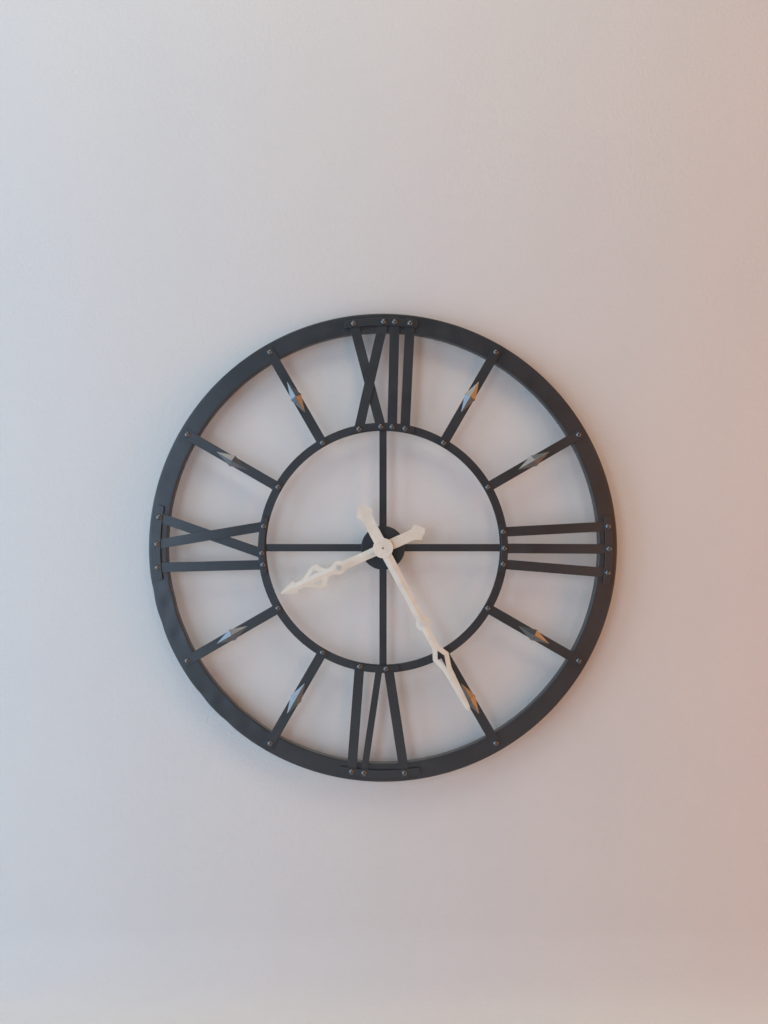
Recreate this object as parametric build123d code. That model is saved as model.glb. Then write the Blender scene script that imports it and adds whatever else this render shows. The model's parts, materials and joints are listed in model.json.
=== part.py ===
from build123d import *
import math
import os

# Skeleton wall clock: a flat sheet rim and an inner ring joined by riveted bars, with bar numerals,
# a cross carrying a quartz movement, and two pressed sheet hands.
# Millimetres and degrees. The origin is on the dial axis at the wall plane, +Z is up, and the dial faces -Y.
# A depth is a distance out from the wall, so it is -Y. Clock angles run clockwise from twelve.

# ---- Rim and inner ring ----
outer_diameter = 800.0
rim_width = 32.0
rim_sheet = 1.5
rim_flange_depth = 12.0
rim_bend_radius = 2.5
rim_face_depth = 28.0
inner_ring_diameter = 427.0
inner_ring_width = 14.0
inner_ring_thickness = 4.0
edge_round = 0.4

# ---- Bars, straps and rivets ----
bar_width = 16.5
thin_bar_width = 11.5
bar_thickness = 2.0
bar_corner_radius = 3.0
outer_rivet_inset = 15.0
outer_bar_overhang = 9.0
inner_bar_overhang = 5.5
crossing_ramp = 16.0
crossing_margin = 2.0
strap_sheet = 1.5
outer_strap_width = 12.5
inner_strap_width = 10.0
strap_corner_radius = 3.5
strap_top_round = 0.7
rivet_shank_radius = 2.4
rivet_hole_clearance = 0.1
rivet_head_radius = 5.0
rivet_head_height = 3.2
rivet_tail_radius = 3.8
rivet_tail_height = 1.0
diamond_length = 62.0
diamond_width = 20.5
diamond_height = 7.0
diamond_radius = 296.5
hour_bar_hours = (1, 2, 4, 5, 7, 8, 10, 11)

# The four numerals' hours. Then, for each end of their strokes, the middle of the group on the circle of
# rivets, the strokes in clockwise order, and the clear gaps between them.
numeral_hours = {"twelve": 12, "three": 3, "six": 6, "nine": 9}
outer_ends = {
    "twelve": (-2.0, ("x_left", "x_right", "i_left", "i_right"), (34.5, 2.5, 9.5)),
    "three": (3.0, ("i_upper", "i_middle", "i_lower"), (22.0, 24.0)),
    "six": (8.5, ("v_thick", "v_thin", "i_bar"), (55.0, 7.0)),
    "nine": (9.25, ("i_bar", "x_front", "x_rear"), (23.0, 29.5)),
}
inner_ends = {
    "twelve": (-1.75, ("x_right", "x_left", "i_left", "i_right"), (21.0, 2.5, 5.5)),
    "three": (0.5, ("i_upper", "i_middle", "i_lower"), (11.5, 10.5)),
    "six": (15.25, ("v_thick", "v_thin", "i_bar"), (2.0, 19.5)),
    "nine": (3.75, ("i_bar", "x_rear", "x_front"), (3.0, 29.5)),
}
front_strokes = {"twelve_x_right": "twelve_x_left", "nine_x_front": "nine_x_rear"}
thin_stroke = "six_v_thin"
shared_rivet_shift = 4.5
# How far each strap runs past the edges of its numeral's first and last strokes, clockwise.
outer_strap_margins = {"twelve": (5.2, 5.1), "three": (9.9, 11.8), "six": (17.3, 11.6), "nine": (13.7, 8.2)}
inner_strap_margins = {"twelve": (7.0, 8.0), "three": (6.2, 6.4), "six": (8.7, 8.2), "nine": (7.9, 7.5)}

# ---- Cross, hanger and bumpers ----
cross_bar_width = 12.5
cross_bar_thickness = 2.0
centre_disc_radius = 37.5
centre_disc_thickness = 2.0
centre_disc_round = 0.9
bracket_length = 60.0
bracket_height = 20.0
bracket_sheet = 1.5
bracket_wall_gap = 1.0
keyhole_radius = 4.5
keyhole_slot_radius = 2.3
keyhole_slot_rise = 7.0
bumper_radius = 9.0
bumper_clock_angles = (45.0, 135.0, 225.0, 315.0)

# ---- Quartz movement ----
case_size = 55.0
case_corner_radius = 3.0
case_depth = 18.0
case_wall = 1.2
washer_thickness = 1.0
washer_radius = 9.0
bush_radius = 4.0
bush_fit = 0.1
nut_across_flats = 13.0
nut_thickness = 2.5
bush_end_margin = 1.0
running_fit = 0.05
hour_tube_radius = 2.55
minute_tube_radius = 1.75
second_arbor_radius = 0.5
battery_radius = 7.1
battery_length = 49.5
battery_nub_radius = 2.75
battery_nub_length = 1.0
battery_clearance = 0.2
contact_thickness = 0.4
contact_size = 9.0
partition_thickness = 1.0

# ---- Wheel train ----
wheel_thickness = 0.8
pinion_thickness = 1.2
layer_pitch = 1.8
motion_layer_gain = 0.2
front_wheel_gap = 0.4
post_radius = 0.55
tooth_addendum = 0.85
tooth_dedendum = 1.2
tooth_root_share = 0.62
tooth_tip_share = 0.2
minute_teeth, third_pinion_teeth = 60, 8
third_teeth, second_pinion_teeth = 64, 8
second_teeth, intermediate_pinion_teeth = 60, 12
intermediate_teeth, rotor_pinion_teeth = 60, 10
cannon_teeth, motion_teeth = 12, 36
motion_pinion_teeth, hour_teeth = 10, 40
knob_pinion_teeth = 12
third_distance = 10.2
intermediate_distance = 9.72
rotor_distance = 8.75
motion_distance = 8.4
third_bearing = 140.0
intermediate_bearing = 50.0
rotor_bearing = 20.0
motion_bearing = -20.0
knob_bearing = 30.0
rotor_magnet_radius = 2.4
stator_gap = 0.5
stator_thickness = 1.6
stator_bar = 3.0
coil_radius = 3.4
coil_length = 18.0
bobbin_rim = 0.6
bobbin_cheek = 1.0
board_width = 9.0
board_height = 30.0
board_thickness = 1.0
board_lift = 2.0
chip_size = 5.0
chip_thickness = 1.0
crystal_radius = 1.0
crystal_length = 6.0
crystal_seat = 0.1
knob_radius = 6.0
knob_thickness = 2.6
knob_gap = 0.3
knob_shaft_radius = 1.2
knob_ribs = 24

# ---- Hands ----
hand_sheet = 1.0
hub_radius = 17.0
crease_distance = 10.0
crease_width = 1.6
crease_depth = 0.6
fold_length = 6.0
fold_slope = 0.2
tail_pitch = 2.0
hand_gap = 1.0
collet_length = 3.0
collet_wall = 1.6
tube_recess = 2.0
second_hole_radius = 1.6
minute_rest_angle = 152.0
hour_rest_angle = 246.0
# The hands' outlines are (distance from the axis, half width) points. A rounding is (from, to, corner radius).
minute_shaft = ((0.0, 8.7), (144.3, 7.3))
minute_eye = (144.3, 12.3, 5.2)
minute_loop = (
    (144.3, 6.8), (190.0, 6.6), (207.5, 15.0), (231.0, 7.9), (256.0, 6.7), (300.0, 4.6), (307.0, 3.6),
    (310.6, 0.0),
)
minute_tip_rounding = (306.0, 311.0, 1.8)
minute_loop_rounding = (189.0, 232.0, 3.0)
minute_window = ((195.5, 0.0), (208.5, 6.5), (228.5, 0.0))
minute_window_rounding = (200.0, 220.0, 1.2)
minute_neck = 8.6
minute_fold_reach = 16.0
hour_shaft = (
    (0.0, 8.0), (82.2, 7.2), (105.0, 6.6), (145.0, 7.0), (158.5, 6.3), (161.0, 6.3), (162.8, 11.3),
    (188.0, 1.8), (189.8, 0.0),
)
hour_tip_rounding = (180.0, 190.0, 1.2)
hour_eye = (82.2, 11.9, 5.0)
hour_eye_flare = ((70.0, 7.2), (82.2, 11.6), (96.0, 6.7))
hour_leaf = (
    (103.0, 6.4), (110.0, 13.6), (112.4, 15.6), (111.3, 19.4), (116.0, 20.3), (123.5, 20.2), (130.0, 17.6),
    (137.0, 12.6), (146.5, 6.9),
)
hour_leaf_rounding = (113.0, 140.0, 4.0)
hour_window = ((6.6, 114.5), (14.4, 122.5), (6.6, 135.5))
hour_window_radius = 0.8
hour_neck = 7.9
hour_fold_reach = 21.0
# A tail's half width, the distances of its shoulder and lobe, the lobe's half width and the distance of its tip
minute_tail = (9.4, 59.5, 66.5, 15.7, 83.0)
hour_tail = (9.2, 57.0, 64.0, 14.9, 78.3)
tail_point_length = 4.5
tail_point_share = 0.48
tail_hollow_shift = 1.0
tail_hollow_share = 0.62
tail_corner_radius = 1.6

# ---- Sizes that follow from those ----
outer_radius = outer_diameter / 2
rim_inner_radius = outer_radius - rim_width
outer_rivet_radius = outer_radius - outer_rivet_inset
inner_ring_outer_radius = inner_ring_diameter / 2
inner_ring_inner_radius = inner_ring_outer_radius - inner_ring_width
inner_rivet_radius = inner_ring_outer_radius - inner_ring_width / 2
bar_outer_radius = outer_rivet_radius + outer_bar_overhang
bar_inner_radius = inner_rivet_radius - inner_bar_overhang
bar_top_depth = rim_face_depth + bar_thickness
strap_top_depth = bar_top_depth + strap_sheet
rivet_hole_radius = rivet_shank_radius + rivet_hole_clearance
cross_back_depth = rim_face_depth - 2 * cross_bar_thickness
disc_top_depth = rim_face_depth + centre_disc_thickness
case_front_depth = cross_back_depth - washer_thickness
case_back_depth = case_front_depth - case_depth
case_inside_front = case_front_depth - case_wall
case_inside_back = case_back_depth + case_wall
bush_end_depth = disc_top_depth + nut_thickness + bush_end_margin
hour_hand_back = bush_end_depth + hand_gap + collet_length
hour_hand_front = hour_hand_back + hand_sheet
minute_hand_back = hour_hand_front + hand_gap + collet_length
minute_hand_front = minute_hand_back + hand_sheet
battery_height = -case_size / 2 + case_wall + battery_clearance + battery_radius
battery_depth = case_inside_back + battery_clearance + battery_radius
partition_top = battery_height + battery_radius + battery_clearance + partition_thickness
hour_wheel_front = case_inside_front - front_wheel_gap
motion_wheel_front = hour_wheel_front - layer_pitch + motion_layer_gain
minute_wheel_front = motion_wheel_front - layer_pitch
third_wheel_front = minute_wheel_front - layer_pitch
second_wheel_front = third_wheel_front - layer_pitch
intermediate_wheel_front = second_wheel_front - layer_pitch
pinion_overlap = (pinion_thickness - wheel_thickness) / 2
stator_front = intermediate_wheel_front - wheel_thickness - stator_gap


# ---- Helpers ----
def dial(depth):
    """The plane parallel to the dial at this depth: local X is +X, local Y is +Z, and it faces the viewer."""
    return Plane(origin=(0, -depth, 0), x_dir=(1, 0, 0), z_dir=(0, -1, 0))


def slab(sketch, back, front):
    """A sketch in the dial's plane, made solid from one depth to another."""
    return extrude(dial(back) * sketch, amount=front - back, dir=(0, -1, 0))


def clockwise(shape, angle):
    return Rot(0, angle, 0) * shape


def disc(radius, back, front, x=0.0, z=0.0):
    return slab(Pos(x, z) * Circle(radius), back, front)


def tube(outer, inner, back, front, x=0.0, z=0.0):
    return slab(Pos(x, z) * (Circle(outer) - Circle(inner)), back, front)


def polar(radius, bearing):
    """A point in the dial's plane, with the bearing counter-clockwise from three o'clock."""
    return radius * math.cos(math.radians(bearing)), radius * math.sin(math.radians(bearing))


def on_circle(radius, offset):
    """The point of a circle at this sideways offset from the numeral's axis, on its outer side."""
    return offset, math.sqrt(radius**2 - offset**2)


def turned(point, angle):
    """A dial point turned clockwise about the dial's centre."""
    a = math.radians(angle)
    return (point[0] * math.cos(a) + point[1] * math.sin(a), point[1] * math.cos(a) - point[0] * math.sin(a))


def rivet_holes(points, back, front):
    return [disc(rivet_hole_radius, back, front, x, z) for x, z in points]


def soften(solid, radius, faces):
    """Rounds the outline edges of the chosen faces."""
    return fillet(faces(solid).edges(), radius)


def front_faces(solid):
    return solid.faces().sort_by(Axis.Y)[:1]


# ---- Where the numerals' strokes and the rivets go ----
def stroke_width(full_name):
    return thin_bar_width if full_name == thin_stroke else bar_width


def end_offsets(numeral, ends):
    """How far each stroke's middle lies from the numeral's axis at one of its ends, clockwise."""
    middle, names, gaps = ends[numeral]
    widths = [stroke_width(f"{numeral}_{name}") for name in names]
    edge = middle - (sum(widths) + sum(gaps)) / 2
    offsets = {}
    for name, width, gap in zip(names, widths, (*gaps, 0)):
        offsets[name] = edge + width / 2
        edge += width + gap
    return offsets


def numeral_layout(numeral):
    """The numeral's strokes: (name, offset of its outer rivet, offset of its inner rivet)."""
    outer, inner = end_offsets(numeral, outer_ends), end_offsets(numeral, inner_ends)
    return [(name, outer[name], inner[name]) for name in outer]


numeral_strokes = {numeral: (hour, numeral_layout(numeral)) for numeral, hour in numeral_hours.items()}


def stroke_rivets(numeral, stroke):
    """The outer and inner rivet points of a numeral's stroke, in the numeral's own frame, or None."""
    name, outer_offset, inner_offset = stroke
    outer = on_circle(outer_rivet_radius, outer_offset)
    inner = on_circle(inner_rivet_radius, inner_offset)
    full_name = f"{numeral}_{name}"
    if full_name == thin_stroke:
        return [outer]
    if full_name == "six_v_thick":
        inner = on_circle(inner_rivet_radius, inner_offset + shared_rivet_shift)
    return [outer, inner]


def numeral_rivet_points():
    points = []
    for numeral, (hour, strokes) in numeral_strokes.items():
        for stroke in strokes:
            points += [turned(p, 30 * hour) for p in stroke_rivets(numeral, stroke)]
    return points


def hour_bar_rivet_points():
    ends = ((0, outer_rivet_radius), (0, inner_rivet_radius))
    return [turned(end, 30 * hour) for hour in hour_bar_hours for end in ends]


def is_outer(point):
    return math.hypot(*point) > (outer_rivet_radius + inner_rivet_radius) / 2


# ---- Rings ----
def outer_ring(points):
    """A sheet channel: a flat face with a return flange at each edge, open towards the wall."""
    flange_back = rim_face_depth - rim_flange_depth
    profile = Polygon(
        (rim_inner_radius, -flange_back),
        (rim_inner_radius, -rim_face_depth),
        (outer_radius, -rim_face_depth),
        (outer_radius, -flange_back),
        align=None,
    )
    profile = fillet(profile.vertices().group_by(Axis.Y)[0], rim_bend_radius)
    hollow = Polygon(
        (rim_inner_radius + rim_sheet, -flange_back),
        (rim_inner_radius + rim_sheet, -rim_face_depth + rim_sheet),
        (outer_radius - rim_sheet, -rim_face_depth + rim_sheet),
        (outer_radius - rim_sheet, -flange_back),
        align=None,
    )
    hollow = fillet(hollow.vertices().group_by(Axis.Y)[0], rim_bend_radius - rim_sheet)
    ring = revolve(profile - hollow, Axis.Y)
    return ring - rivet_holes([p for p in points if is_outer(p)], flange_back, bar_top_depth)


def inner_ring(points):
    back = rim_face_depth - inner_ring_thickness
    ring = tube(inner_ring_outer_radius, inner_ring_inner_radius, back, rim_face_depth)
    ring = fillet(ring.edges().filter_by(GeomType.CIRCLE), edge_round)
    return ring - rivet_holes([p for p in points if not is_outer(p)], back, bar_top_depth)


# ---- Bars ----
def hour_bar(hour):
    length = bar_outer_radius - bar_inner_radius
    outline = Pos(0, (bar_outer_radius + bar_inner_radius) / 2) * Rectangle(bar_width, length)
    outline = fillet(outline.vertices(), bar_corner_radius)
    bar = soften(slab(outline, rim_face_depth, bar_top_depth), edge_round, front_faces)
    holes = rivet_holes(((0, outer_rivet_radius), (0, inner_rivet_radius)), rim_face_depth, bar_top_depth)
    return clockwise(bar - holes, 30 * hour)


def stroke_line(stroke):
    _, outer_offset, inner_offset = stroke
    start = Vector(*on_circle(inner_rivet_radius, inner_offset))
    end = Vector(*on_circle(outer_rivet_radius, outer_offset))
    return start, end


def crossing(front, rear):
    """How far along the front stroke the rear one crosses it, and half the length over which they overlap."""
    start, end = stroke_line(front)
    other_start, other_end = stroke_line(rear)
    along = (end - start).normalized()
    other = (other_end - other_start).normalized()
    sine = abs(along.X * other.Y - along.Y * other.X)
    gap = other_start - start
    distance = (gap.X * other.Y - gap.Y * other.X) / (along.X * other.Y - along.Y * other.X)
    half = bar_width / 2 * (1 + math.sqrt(1 - sine**2)) / sine
    return distance, half + crossing_margin


def side_profile(length, lift_at, lift_half):
    """A bar seen from its side: flat on the rings, and stepped over the stroke that it crosses."""
    overrun = outer_bar_overhang + bar_width
    path = [(-overrun, 0)]
    if lift_at is not None:
        path += [
            (lift_at - lift_half - crossing_ramp, 0),
            (lift_at - lift_half, bar_thickness),
            (lift_at + lift_half, bar_thickness),
            (lift_at + lift_half + crossing_ramp, 0),
        ]
    path.append((length + overrun, 0))
    under = [(s, rim_face_depth + rise) for s, rise in path]
    over = [(s, depth + bar_thickness) for s, depth in reversed(under)]
    return Polygon(*under, *over, align=None)


def numeral_stroke(numeral, stroke, width, rear=None):
    start, end = stroke_line(stroke)
    along = (end - start).normalized()
    lift_at, lift_half = crossing(stroke, rear) if rear else (None, None)
    x_dir = Vector(along.X, 0, along.Y)
    across = x_dir.cross(Vector(0, -1, 0))
    side = Plane(origin=(start.X, 0, start.Y), x_dir=x_dir, z_dir=across)
    profile = side * side_profile((end - start).length, lift_at, lift_half)
    bar = extrude(profile, amount=width / 2, both=True)
    ends = tube(bar_outer_radius, bar_inner_radius, rim_face_depth, bar_top_depth + bar_thickness)
    bar = bar & ends
    points = [p for other in numeral_strokes[numeral][1] for p in stroke_rivets(numeral, other)]
    bar = bar - rivet_holes(points, rim_face_depth, bar_top_depth)
    return clockwise(bar, 30 * numeral_strokes[numeral][0])


def diamond(hour):
    """A solid four-sided pyramid on a rhombus, standing on the bar's face."""
    low, high = dial(bar_top_depth), dial(bar_top_depth + diamond_height)
    tip = low.from_local_coords(Vector(0, diamond_radius + diamond_length / 2, 0))
    heel = low.from_local_coords(Vector(0, diamond_radius - diamond_length / 2, 0))
    left = low.from_local_coords(Vector(-diamond_width / 2, diamond_radius, 0))
    right = low.from_local_coords(Vector(diamond_width / 2, diamond_radius, 0))
    apex = high.from_local_coords(Vector(0, diamond_radius, 0))
    rim = (tip, right, heel, left)
    sides = [Face(Wire.make_polygon([rim[i - 1], rim[i], apex])) for i in range(len(rim))]
    base = Face(Wire.make_polygon(rim))
    return clockwise(Solid(Shell([base, *sides])), 30 * hour)


# ---- Straps and rivets ----
def stroke_reach(numeral, radius, width):
    """The lowest and highest offsets that a numeral's strokes reach under its strap."""
    lows, highs = [], []
    for stroke in numeral_strokes[numeral][1]:
        start, end = stroke_line(stroke)
        slope = (end.X - start.X) / (end.Y - start.Y)
        half = bar_width / 2 * math.sqrt(1 + slope**2)
        for edge in (radius - width / 2, radius + width / 2):
            offset = start.X + slope * (math.sqrt(edge**2 - start.X**2) - start.Y)
            lows.append(offset - half)
            highs.append(offset + half)
    return min(lows), max(highs)


def strap(numeral, radius, width, margins, points):
    """A curved strap over a numeral's bar ends, with a foot at each end that stands on the ring."""
    low, high = stroke_reach(numeral, radius, width)
    first = math.degrees((low - margins[0]) / radius)
    last = math.degrees((high + margins[1]) / radius)
    half = width / 2
    reach = 2 * radius
    wedge = Polygon((0, 0), turned((0, reach), first), turned((0, reach), last), align=None)
    outline = (Circle(radius + half) - Circle(radius - half)) & wedge
    outline = fillet(outline.vertices(), strap_corner_radius)
    body = slab(outline, rim_face_depth, strap_top_depth)
    body = soften(body, strap_top_round, front_faces)
    foot = math.degrees(strap_corner_radius / radius)
    inside = Polygon((0, 0), turned((0, reach), first + foot), turned((0, reach), last - foot), align=None)
    body = body - slab(inside, rim_face_depth, bar_top_depth)
    body = body - rivet_holes(points, rim_face_depth, strap_top_depth)
    return clockwise(body, 30 * numeral_strokes[numeral][0])


def numeral_strap(numeral, side):
    points = [p for stroke in numeral_strokes[numeral][1] for p in stroke_rivets(numeral, stroke)]
    if side == "outer":
        return strap(numeral, outer_rivet_radius, outer_strap_width, outer_strap_margins[numeral], points)
    return strap(numeral, inner_rivet_radius, inner_strap_width, inner_strap_margins[numeral], points)


def rivet(back, seat):
    """A round-head rivet through everything from the back depth to the seat under its head."""
    sphere_radius = (rivet_head_radius**2 + rivet_head_height**2) / (2 * rivet_head_height)
    head = Pos(0, -(seat + rivet_head_height - sphere_radius), 0) * Sphere(sphere_radius)
    head = head & disc(2 * rivet_head_radius, seat, seat + rivet_head_height)
    shank = disc(rivet_shank_radius, back, seat)
    tail = disc(rivet_tail_radius, back - rivet_tail_height, back)
    tail = fillet(tail.edges().sort_by(Axis.Y)[-1], rivet_tail_height / 2)
    return head + shank + tail


def rivets(points, seat):
    made = []
    for x, z in points:
        sheet = rim_sheet if is_outer((x, z)) else inner_ring_thickness
        made.append(Pos(x, 0, z) * rivet(rim_face_depth - sheet, seat))
    return Compound(children=made)


# ---- Cross, disc, hanger and bumpers ----
def cross_bar(angle, front):
    """A flat bar right across the inner ring, welded to its inner wall at both ends."""
    back = front - cross_bar_thickness
    bar = slab(Rectangle(cross_bar_width, inner_ring_diameter), back, front)
    bar = bar & disc(inner_ring_inner_radius, back, front)
    return clockwise(bar - disc(bush_radius + bush_fit, back, front), angle)


def centre_disc():
    plate = disc(centre_disc_radius, rim_face_depth, disc_top_depth)
    plate = soften(plate, centre_disc_round, front_faces)
    return plate - disc(bush_radius + bush_fit, rim_face_depth, disc_top_depth)


def hanger_bracket():
    """A U bracket inside the rim at twelve, with a keyhole in its plate next to the wall."""
    middle = outer_rivet_radius
    back, front = bracket_wall_gap, rim_face_depth - rim_sheet
    outline = Pos(0, middle) * Rectangle(bracket_length, bracket_height)
    inner = Pos(0, middle) * Rectangle(bracket_length - 2 * bracket_sheet, bracket_height)
    bracket = slab(outline, back, front) - slab(inner, back + bracket_sheet, front)
    low, high = keyhole_heights()
    keyhole = Pos(0, low) * Circle(keyhole_radius) + Pos(0, high) * Circle(keyhole_slot_radius)
    keyhole += Pos(0, (low + high) / 2) * Rectangle(2 * keyhole_slot_radius, high - low)
    return bracket - slab(keyhole, back, back + bracket_sheet)


def keyhole_heights():
    """The heights of the entry hole's centre and of the slot's seat."""
    middle = outer_rivet_radius
    return middle - keyhole_slot_rise / 2, middle + keyhole_slot_rise / 2


def wall_bumper(angle):
    body = disc(bumper_radius, 0, rim_face_depth - rim_sheet, 0, (outer_radius + rim_inner_radius) / 2)
    return clockwise(chamfer(body.edges().sort_by(Axis.Y)[-1], edge_round), angle)


# ---- Quartz movement ----
def case_outline(inset):
    side = case_size - 2 * inset
    return RectangleRounded(side, side, case_corner_radius - inset)


def bearing_points():
    """Where the train's arbors stand, in the dial's plane."""
    third = polar(third_distance, third_bearing)
    middle = polar(intermediate_distance, intermediate_bearing)
    step = polar(rotor_distance, rotor_bearing)
    motion = polar(motion_distance, motion_bearing)
    knob_step = polar(motion_teeth_distance(), knob_bearing)
    return {
        "third": third,
        "intermediate": middle,
        "rotor": (middle[0] + step[0], middle[1] + step[1]),
        "motion": motion,
        "knob": (motion[0] + knob_step[0], motion[1] + knob_step[1]),
    }


def motion_teeth_distance():
    """The knob's pinion has the cannon's module, so this follows from the motion wheel's."""
    module = 2 * motion_distance / (cannon_teeth + motion_teeth)
    return module * (motion_teeth + knob_pinion_teeth) / 2


def movement_housing():
    """The front half of the case: the floor next to the dial, the walls, the battery bay and the bush."""
    shell = slab(case_outline(0), case_back_depth + case_wall, case_front_depth)
    bay = slab(case_outline(case_wall), case_inside_back, case_inside_front)
    wall_low = partition_top - partition_thickness
    wall = Pos(0, wall_low + partition_thickness / 2) * Rectangle(case_size, partition_thickness)
    shell = shell - bay + (slab(wall, case_inside_back, case_inside_front) & slab(
        case_outline(0), case_inside_back, case_inside_front))
    shell += disc(bush_radius, case_front_depth, bush_end_depth)
    motion = bearing_points()["motion"]
    post_end = motion_wheel_front - wheel_thickness - pinion_overlap
    shell += disc(post_radius, post_end, case_inside_front, *motion)
    return shell - disc(hour_tube_radius + running_fit, case_inside_front, bush_end_depth)


def movement_cover():
    """The back plate over the train, with the posts that the wheels turn on and the knob's hole."""
    high = case_size / 2
    plate = slab(case_outline(0), case_back_depth, case_inside_back)
    wall_low = partition_top - partition_thickness
    window = Pos(0, (wall_low + high) / 2) * Rectangle(case_size, high - wall_low)
    plate = plate & slab(window, case_back_depth, case_inside_back)
    spots = bearing_points()
    post_fronts = {
        "third": minute_wheel_front + pinion_overlap,
        "intermediate": second_wheel_front + pinion_overlap,
        "rotor": intermediate_wheel_front + pinion_overlap,
    }
    for name, front in post_fronts.items():
        plate += disc(post_radius, case_back_depth, front, *spots[name])
    cup = tube(2 * post_radius, second_arbor_radius + running_fit, case_inside_back, second_cup_front())
    plate += cup
    return plate - disc(knob_shaft_radius + running_fit, case_back_depth, case_inside_back, *spots["knob"])


def second_cup_front():
    """The rear bearing of the second wheel's arbor stops short of the wheel."""
    return second_wheel_front - wheel_thickness - front_wheel_gap


def mounting_nut():
    hexagon = RegularPolygon(nut_across_flats / 2, 6, major_radius=False)
    nut = slab(hexagon, disc_top_depth, disc_top_depth + nut_thickness)
    corner = chamfer(disc(nut_across_flats / math.sqrt(3), disc_top_depth, disc_top_depth + nut_thickness)
                     .edges().sort_by(Axis.Y)[0], edge_round)
    return (nut & corner) - disc(bush_radius + bush_fit, disc_top_depth, disc_top_depth + nut_thickness)


def battery_cell():
    centre = Pos(0, -battery_depth, battery_height)
    body = fillet(Cylinder(battery_radius, battery_length).edges().filter_by(GeomType.CIRCLE), edge_round)
    nub_at = (battery_length + battery_nub_length) / 2
    nub = Pos(0, 0, nub_at) * Cylinder(battery_nub_radius, battery_nub_length)
    lift = Pos(-battery_nub_length / 2, 0, 0)
    return centre * lift * Rot(0, 90, 0) * (body + nub)


def battery_contacts():
    """A spring plate at each end of the cell: a bowed one at the can's end and a flat one at the nub."""
    inside = case_size / 2 - case_wall
    cell_end = (battery_length + battery_nub_length) / 2
    plates = []
    for side in (-1, 1):
        middle = side * (inside - contact_thickness / 2)
        plate = Pos(middle, -battery_depth, battery_height) * Box(contact_thickness, contact_size, contact_size)
        reach = inside - contact_thickness - cell_end
        pad = Rot(0, 90, 0) * Cylinder(battery_nub_radius, reach)
        plates.append(plate + Pos(side * (cell_end + reach / 2), -battery_depth, battery_height) * pad)
    return Compound(children=plates)


# ---- Toothed wheels ----
def gear(teeth, module, phase):
    """A toothed disc with one tooth centred at the phase angle, counter-clockwise from three o'clock."""
    pitch_radius = module * teeth / 2
    tip = pitch_radius + tooth_addendum * module
    root = pitch_radius - tooth_dedendum * module
    step = 360 / teeth
    points = []
    for tooth in range(teeth):
        centre = phase + tooth * step
        points += [
            polar(root, centre - step * tooth_root_share / 2),
            polar(tip, centre - step * tooth_tip_share / 2),
            polar(tip, centre + step * tooth_tip_share / 2),
            polar(root, centre + step * tooth_root_share / 2),
        ]
    return Polygon(*points, align=None)


def mate_phase(phase, teeth, mate_teeth, bearing):
    """The phase of a wheel whose tooth space faces the nearest tooth of the wheel that it meshes with."""
    step = 360 / teeth
    offset = (phase - bearing + step / 2) % step - step / 2
    return bearing + 180 - offset * teeth / mate_teeth + 180 / mate_teeth


def wheel(teeth, module, phase, front):
    return slab(gear(teeth, module, phase), front - wheel_thickness, front)


def pinion(teeth, module, phase, mesh_front):
    """A pinion a little longer than the wheel that it meshes with."""
    back = mesh_front - wheel_thickness - pinion_overlap
    return slab(gear(teeth, module, phase), back, mesh_front + pinion_overlap)


def module_for(distance, *teeth):
    return 2 * distance / sum(teeth)


def minute_wheel():
    """The centre wheel, its cannon pinion and the tube that carries the minute hand."""
    body = wheel(minute_teeth, module_for(third_distance, minute_teeth, third_pinion_teeth), third_bearing,
                 minute_wheel_front)
    module = module_for(motion_distance, cannon_teeth, motion_teeth)
    body += pinion(cannon_teeth, module, motion_bearing, motion_wheel_front)
    body += disc(minute_tube_radius, minute_wheel_front, minute_hand_back - tube_recess)
    bore = second_arbor_radius + running_fit
    return body - disc(bore, minute_wheel_front - wheel_thickness, minute_hand_back)


def third_wheel():
    x, z = bearing_points()["third"]
    module = module_for(third_distance, minute_teeth, third_pinion_teeth)
    phase = mate_phase(third_bearing, minute_teeth, third_pinion_teeth, third_bearing)
    body = pinion(third_pinion_teeth, module, phase, minute_wheel_front)
    module = module_for(third_distance, third_teeth, second_pinion_teeth)
    body += wheel(third_teeth, module, third_bearing + 180, third_wheel_front)
    body += disc(2 * post_radius, third_wheel_front, minute_wheel_front - wheel_thickness - pinion_overlap)
    back, front = third_wheel_front - wheel_thickness, minute_wheel_front + pinion_overlap
    return Pos(x, 0, z) * (body - disc(post_radius + running_fit, back, front))


def second_wheel():
    """The second wheel, with an arbor through the minute tube. No seconds hand is fitted to it."""
    module = module_for(third_distance, third_teeth, second_pinion_teeth)
    phase = mate_phase(third_bearing + 180, third_teeth, second_pinion_teeth, third_bearing + 180)
    body = pinion(second_pinion_teeth, module, phase, third_wheel_front)
    module = module_for(intermediate_distance, second_teeth, intermediate_pinion_teeth)
    body += wheel(second_teeth, module, intermediate_bearing, second_wheel_front)
    pinion_back = third_wheel_front - wheel_thickness - pinion_overlap
    body += disc(2 * second_arbor_radius, second_wheel_front, pinion_back)
    rear = case_inside_back + front_wheel_gap
    return body + disc(second_arbor_radius, rear, minute_hand_back - collet_length)


def intermediate_wheel():
    x, z = bearing_points()["intermediate"]
    module = module_for(intermediate_distance, second_teeth, intermediate_pinion_teeth)
    phase = mate_phase(intermediate_bearing, second_teeth, intermediate_pinion_teeth, intermediate_bearing)
    body = pinion(intermediate_pinion_teeth, module, phase, second_wheel_front)
    module = module_for(rotor_distance, intermediate_teeth, rotor_pinion_teeth)
    body += wheel(intermediate_teeth, module, rotor_bearing, intermediate_wheel_front)
    pinion_back = second_wheel_front - wheel_thickness - pinion_overlap
    body += disc(2 * post_radius, intermediate_wheel_front, pinion_back)
    back, front = intermediate_wheel_front - wheel_thickness, second_wheel_front + pinion_overlap
    return Pos(x, 0, z) * (body - disc(post_radius + running_fit, back, front))


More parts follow.
